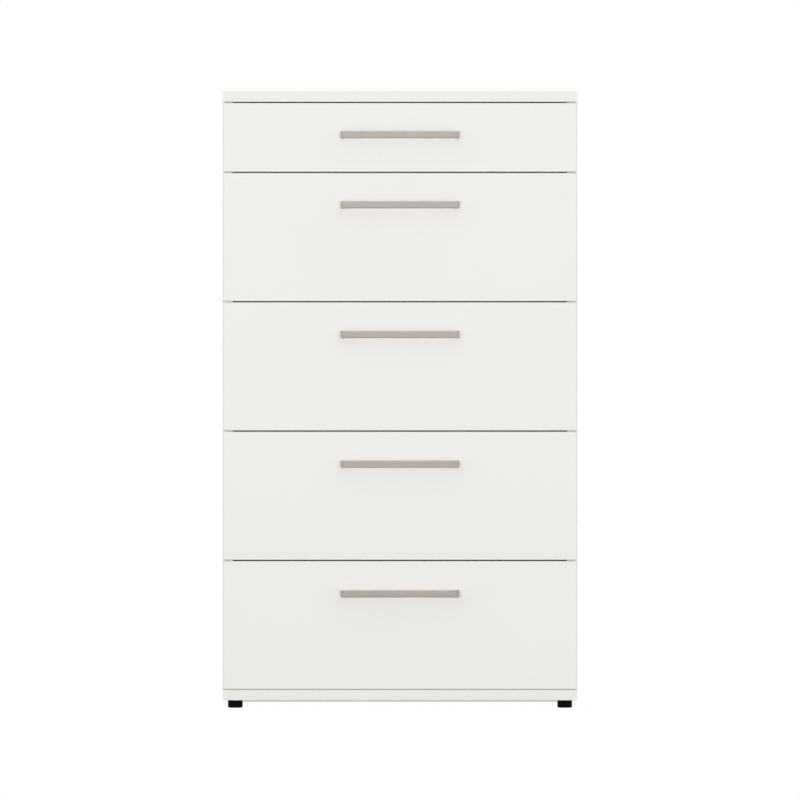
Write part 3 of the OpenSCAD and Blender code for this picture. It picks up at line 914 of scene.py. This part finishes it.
WHITE = (1.0, 1.0, 1.0, 1.0)
FLOOR_RADIUS = 30.0
FLOOR_SEGMENTS = 96
FLOOR_GLOW = 0.99
FLOOR_PAPER = (0.80, 0.79, 0.77, 1.0)
FLOOR_WARM = (0.35, 0.325, 0.295, 1.0)
FADE_START = 0.9
FADE_END = 2.6
SHADOW_GLOW = 0.45
SHADOW_START = 0.233
SHADOW_FRONT_FADE = 0.03
SHADOW_SIDE_FADE = 0.025
SHADOW_REAR_FADE = 0.12

# Room: its light by the direction it comes from, where y is -1 before the fronts and 1 behind the chest
ROOM_LIGHT = 0.505
ROOM_WHITE = (ROOM_LIGHT, ROOM_LIGHT, ROOM_LIGHT, 1.0)
BACK_LIGHT = 1.05
DIM_UP_TO = -0.8
BRIGHT_FROM = 0.6
SIDE_SHADE = 0.6
SIDE_START = 0.3

# Soft box and camera
BOX_PLACE = (0.0, -9.0, 0.56)
BOX_TARGET = (0.0, 0.0, 0.5)
BOX_SIZE = (2.8, 0.9)
KEY_POWER = 402.0
CAMERA_DISTANCE = 11.0
SENSOR_WIDTH = 36.0


def studio_floor():
    mesh = bpy.data.meshes.new("studio_floor")
    shape = bmesh.new()
    bmesh.ops.create_circle(shape, cap_ends=True, segments=FLOOR_SEGMENTS, radius=FLOOR_RADIUS)
    shape.to_mesh(mesh)
    shape.free()
    floor = bpy.data.objects.new("studio_floor", mesh)
    bpy.context.scene.collection.objects.link(floor)
    mesh.materials.append(floor_finish())


def shadow_under_base(tree):
    """The deep part of the shadow under the base, which shows as a thin line below its front edge."""
    low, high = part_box("base_panel")
    place = put(tree, "ShaderNodeSeparateXYZ", {0: object_place(tree)}).outputs
    sideways = maths(tree, "ABSOLUTE", place["X"])
    start = low.y + SHADOW_START
    across = spread(tree, sideways, 1.0, 0.0, start=high.x - SHADOW_SIDE_FADE, end=high.x)
    behind = spread(tree, place["Y"], 0.0, 1.0, start=start, end=start + SHADOW_FRONT_FADE)
    before = spread(tree, place["Y"], 1.0, 0.0, start=high.y - SHADOW_REAR_FADE, end=high.y)
    return maths(tree, "MULTIPLY", across, maths(tree, "MULTIPLY", behind, before))


def floor_finish():
    """Pale paper that shines through, so shadows on it stay faint; far out it is as white as the room."""
    material = bpy.data.materials.new("floor_paper")
    material.use_nodes = True
    tree = material.node_tree
    tree.nodes.clear()
    distance = vector_maths(tree, "LENGTH", object_place(tree))["Value"]
    far = spread(tree, distance, 0.0, 1.0, start=FADE_START, end=FADE_END)
    seen = put(tree, "ShaderNodeLightPath").outputs["Is Camera Ray"]
    shadow = maths(tree, "MULTIPLY", seen, shadow_under_base(tree))
    shine = spread(tree, shadow, FLOOR_GLOW, SHADOW_GLOW)
    share = maths(tree, "MAXIMUM", far, shine)
    paper = put(tree, "ShaderNodeBsdfDiffuse", {"Color": FLOOR_PAPER}).outputs["BSDF"]
    cast = blend(tree, far, FLOOR_WARM, ROOM_WHITE)
    glow = put(tree, "ShaderNodeEmission", {"Color": blend(tree, seen, cast, WHITE)}).outputs["Emission"]
    surface = put(tree, "ShaderNodeMixShader", {0: share, 1: paper, 2: glow}).outputs["Shader"]
    below = put(tree, "ShaderNodeNewGeometry").outputs["Backfacing"]
    clear = put(tree, "ShaderNodeBsdfTransparent").outputs["BSDF"]
    sheet = put(tree, "ShaderNodeMixShader", {0: below, 1: surface, 2: clear}).outputs["Shader"]
    put(tree, "ShaderNodeOutputMaterial", {"Surface": sheet})
    return material


def white_room():
    """White to the camera, darker at the sides in reflections, and as light dimmest before the fronts."""
    world = bpy.data.worlds.new("white_room")
    bpy.context.scene.world = world
    world.use_nodes = True
    tree = world.node_tree
    tree.nodes.clear()
    around = put(tree, "ShaderNodeTexCoord").outputs["Generated"]
    direction = put(tree, "ShaderNodeSeparateXYZ", {0: around}).outputs
    light = spread(tree, direction["Y"], ROOM_LIGHT, BACK_LIGHT, start=DIM_UP_TO, end=BRIGHT_FROM)
    sideways = maths(tree, "ABSOLUTE", direction["X"])
    mirrored = spread(tree, sideways, 1.0, SIDE_SHADE, start=SIDE_START, end=1.0)
    path = put(tree, "ShaderNodeLightPath").outputs
    unseen = spread(tree, path["Is Glossy Ray"], light, mirrored)
    strength = spread(tree, path["Is Camera Ray"], unseen, 1.0)
    room = put(tree, "ShaderNodeBackground", {"Color": WHITE, "Strength": strength}).outputs["Background"]
    put(tree, "ShaderNodeOutputWorld", {"Surface": room})


def soft_box(name, place, target, size, power):
    """A soft light that isn't mirrored in what it lights."""
    light = bpy.data.lights.new(name, "AREA")
    light.shape = "RECTANGLE"
    light.size, light.size_y = size
    light.energy = power
    lamp = bpy.data.objects.new(name, light)
    lamp.location = place
    lamp.rotation_euler = (Vector(target) - Vector(place)).to_track_quat("-Z", "Y").to_euler()
    lamp.visible_glossy = False
    bpy.context.scene.collection.objects.link(lamp)


def photo_camera():
    """Straight on to the fronts, with the photograph's frame at their plane."""
    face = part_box("drawer_1_front")[0].y
    low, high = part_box("top_panel")
    metres_per_px = (high.x - low.x) / BODY_WIDTH_PX
    camera = bpy.data.cameras.new("photo_camera")
    camera.sensor_width = SENSOR_WIDTH
    camera.lens = SENSOR_WIDTH * CAMERA_DISTANCE / (PICTURE_PX * metres_per_px)
    camera.clip_end = 4 * FLOOR_RADIUS
    stand = bpy.data.objects.new("photo_camera", camera)
    height = high.z - (PICTURE_PX / 2 - BODY_TOP_PX) * metres_per_px
    stand.location = (0.0, face - CAMERA_DISTANCE, height)
    stand.rotation_euler = (math.pi / 2, 0.0, 0.0)
    bpy.context.scene.collection.objects.link(stand)
    bpy.context.scene.camera = stand


studio_floor()
white_room()
soft_box("front_soft_box", BOX_PLACE, BOX_TARGET, BOX_SIZE, KEY_POWER)
photo_camera()
bpy.context.scene.view_settings.view_transform = "Standard"
